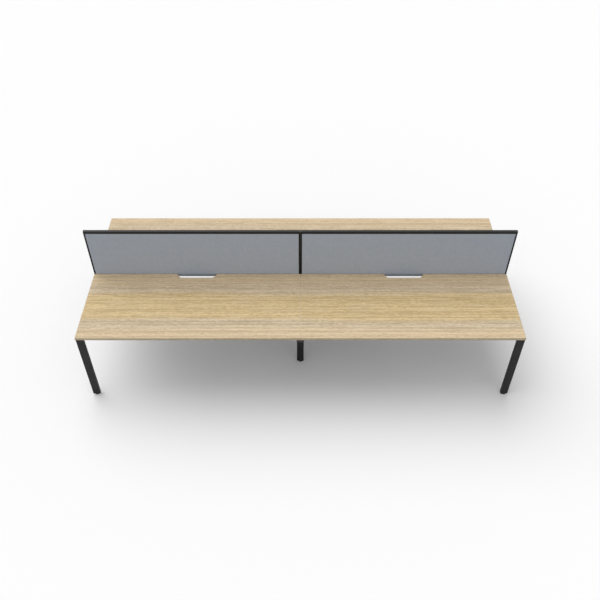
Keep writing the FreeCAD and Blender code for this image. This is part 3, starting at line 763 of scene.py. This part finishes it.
def bead(mesh, stops, normal):
    """A rippled weld bead with narrow ends along straight runs, in the plane with that normal."""
    points = bead_points(stops)
    last = len(points) - 1
    rings = []
    run = 0.0
    for index, point in enumerate(points):
        ahead = points[min(index + 1, last)] - points[max(index - 1, 0)]
        out = ahead.normalized().cross(normal)
        if index:
            run += (point - points[index - 1]).length
        radius = BEAD_RADIUS + BEAD_RIPPLE * math.sin(FULL_TURN * run / BEAD_PITCH)
        if index in (0, last):
            radius = BEAD_RADIUS / 2
        turns = [FULL_TURN * step / BEAD_SIDES for step in range(BEAD_SIDES)]
        rings.append([point + (normal * math.cos(a) + out * math.sin(a)) * radius for a in turns])
    skin(mesh, rings)


def beam_beads(mesh, name):
    """Beads round three sides of a beam, where it meets its end plates."""
    low, high = (Vector(corner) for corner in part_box(name))
    middle = (low.y + high.y) / 2
    reach = BEAM_WIDTH / 2 + BEAD_RADIUS - 2 * BEAD_SINK
    bottom = low.z - BEAD_RADIUS + 2 * BEAD_SINK
    top = high.z - BEAD_END
    for x in (low.x + END_PLATE + BEAD_SINK, high.x - END_PLATE - BEAD_SINK):
        bead(mesh, [
            Vector((x, middle - reach, top)),
            Vector((x, middle - reach, bottom + BEAM_ROUND)),
            Vector((x, middle - reach + BEAM_ROUND, bottom)),
            Vector((x, middle + reach - BEAM_ROUND, bottom)),
            Vector((x, middle + reach, bottom + BEAM_ROUND)),
            Vector((x, middle + reach, top)),
        ], Vector((1, 0, 0)))


def leg_beads(mesh, name):
    """Beads along the top of a middle leg, under its rail."""
    low, high = (Vector(corner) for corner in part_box(name))
    for y in (low.y - BEAD_SINK, high.y + BEAD_SINK):
        bead(mesh, [
            Vector((low.x + BEAD_END, y, high.z - BEAD_SINK)),
            Vector((high.x - BEAD_END, y, high.z - BEAD_SINK)),
        ], Vector((0, 0, 1)))


def weld_beads(material):
    """The welds of the steel frame that stay in sight."""
    mesh = bmesh.new()
    for name in frame["nodes"]:
        if name.endswith("_beam"):
            beam_beads(mesh, name)
    for side in ("front", "rear"):
        leg_beads(mesh, f"middle_{side}_leg")
    finished("weld_beads", mesh, material, "desk")


def in_sight(tree):
    """One for what is seen directly, mirrored or through glass, and zero for light that bounces."""
    path = tree.nodes.new("ShaderNodeLightPath")
    seen = maths(tree, "MAXIMUM", path.outputs["Is Camera Ray"], path.outputs["Is Glossy Ray"])
    return maths(tree, "MAXIMUM", seen, path.outputs["Is Transmission Ray"])


def studio_floor():
    """A plain floor that looks white and keeps the shadows."""
    material, tree, shader = new_material("studio_floor", gloss=0)
    white = (FLOOR_WHITE, FLOOR_WHITE, FLOOR_WHITE, 1)
    bounce = (FLOOR_BOUNCE, FLOOR_BOUNCE, FLOOR_BOUNCE, 1)
    paint(tree, shader, blend(tree, in_sight(tree), bounce, white))
    shader.inputs["Roughness"].default_value = 1
    mesh = bmesh.new()
    bmesh.ops.create_grid(mesh, x_segments=1, y_segments=1, size=FLOOR_REACH)
    data = bpy.data.meshes.new("studio_floor")
    mesh.to_mesh(data)
    mesh.free()
    data.materials.append(material)
    floor = bpy.data.objects.new("studio_floor", data)
    bpy.context.scene.collection.objects.link(floor)
    floor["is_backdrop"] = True


def studio_sky():
    """Even light from all round, which the camera and mirror-like surfaces see as white."""
    world = bpy.data.worlds.new("studio_sky")
    world.use_nodes = True
    tree = world.node_tree
    background = tree.nodes["Background"]
    background.inputs["Color"].default_value = WHITE
    level = rescale(tree, in_sight(tree), (0, 1), (SKY_LEVEL, 1))
    tree.links.new(level, background.inputs["Strength"])
    bpy.context.scene.world = world


def studio_lamp(name, level, width, source):
    """One broad soft lamp, far away on the side that its light comes from."""
    data = bpy.data.lights.new(name, "SUN")
    data.energy = level
    data.angle = width
    lamp = bpy.data.objects.new(name, data)
    lamp.rotation_euler = Vector(source).to_track_quat("Z", "Y").to_euler()
    bpy.context.scene.collection.objects.link(lamp)


def photo_camera():
    """The camera, where the photograph was taken from."""
    data = bpy.data.cameras.new("photo_camera")
    data.sensor_width = SENSOR
    data.lens = LENS
    camera = bpy.data.objects.new("photo_camera", data)
    camera.location = CAMERA_PLACE
    camera.rotation_euler = (math.pi / 2 - CAMERA_DOWN, 0, 0)
    bpy.context.scene.collection.objects.link(camera)
    bpy.context.scene.camera = camera


def main():
    """Dresses the frame, adds the fine pieces and sets the studio."""
    zinc = zinc_plate()
    coat = powder_coat()
    cloth = woven_cloth()
    dress_frame({
        "oak_board": oak_board(),
        "oak_edge": oak_edge(),
        "frame_steel": coat,
        "screen_frame": satin_frame("satin_rail", "X", RAIL_GLOSS),
        "screen_stile": satin_frame("satin_stile", "Z", STILE_GLOSS),
        "screen_fabric": cloth,
        "screen_core": fibreboard(),
        "black_plastic": moulded_plastic(),
        "zinc_steel": zinc,
    })
    screen_cloths(cloth)
    fasteners("socket_bolts", "beam_bolts", X_AXIS, partial(socket_bolt, BEAM_BOLT), zinc)
    fasteners("socket_screen_bolts", "screen_bolts", Z_AXIS, partial(socket_bolt, SCREEN_BOLT), zinc)
    fasteners("cross_screws", "top_screws", Z_AXIS, wood_screw, zinc)
    fasteners("flush_screws", "screen_corner_screws", X_AXIS, corner_screw, zinc)
    threaded_stems(zinc)
    weld_beads(coat)
    studio_floor()
    studio_sky()
    studio_lamp("key_lamp", KEY_LEVEL, KEY_WIDTH, KEY_FROM)
    studio_lamp("fill_lamp", FILL_LEVEL, FILL_WIDTH, FILL_FROM)
    photo_camera()
    bpy.context.scene.view_settings.view_transform = "Standard"


main()
boxes = {"cad": cad_box, "visual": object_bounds()}
{name: [list(corner) for corner in box] for name, box in boxes.items()}
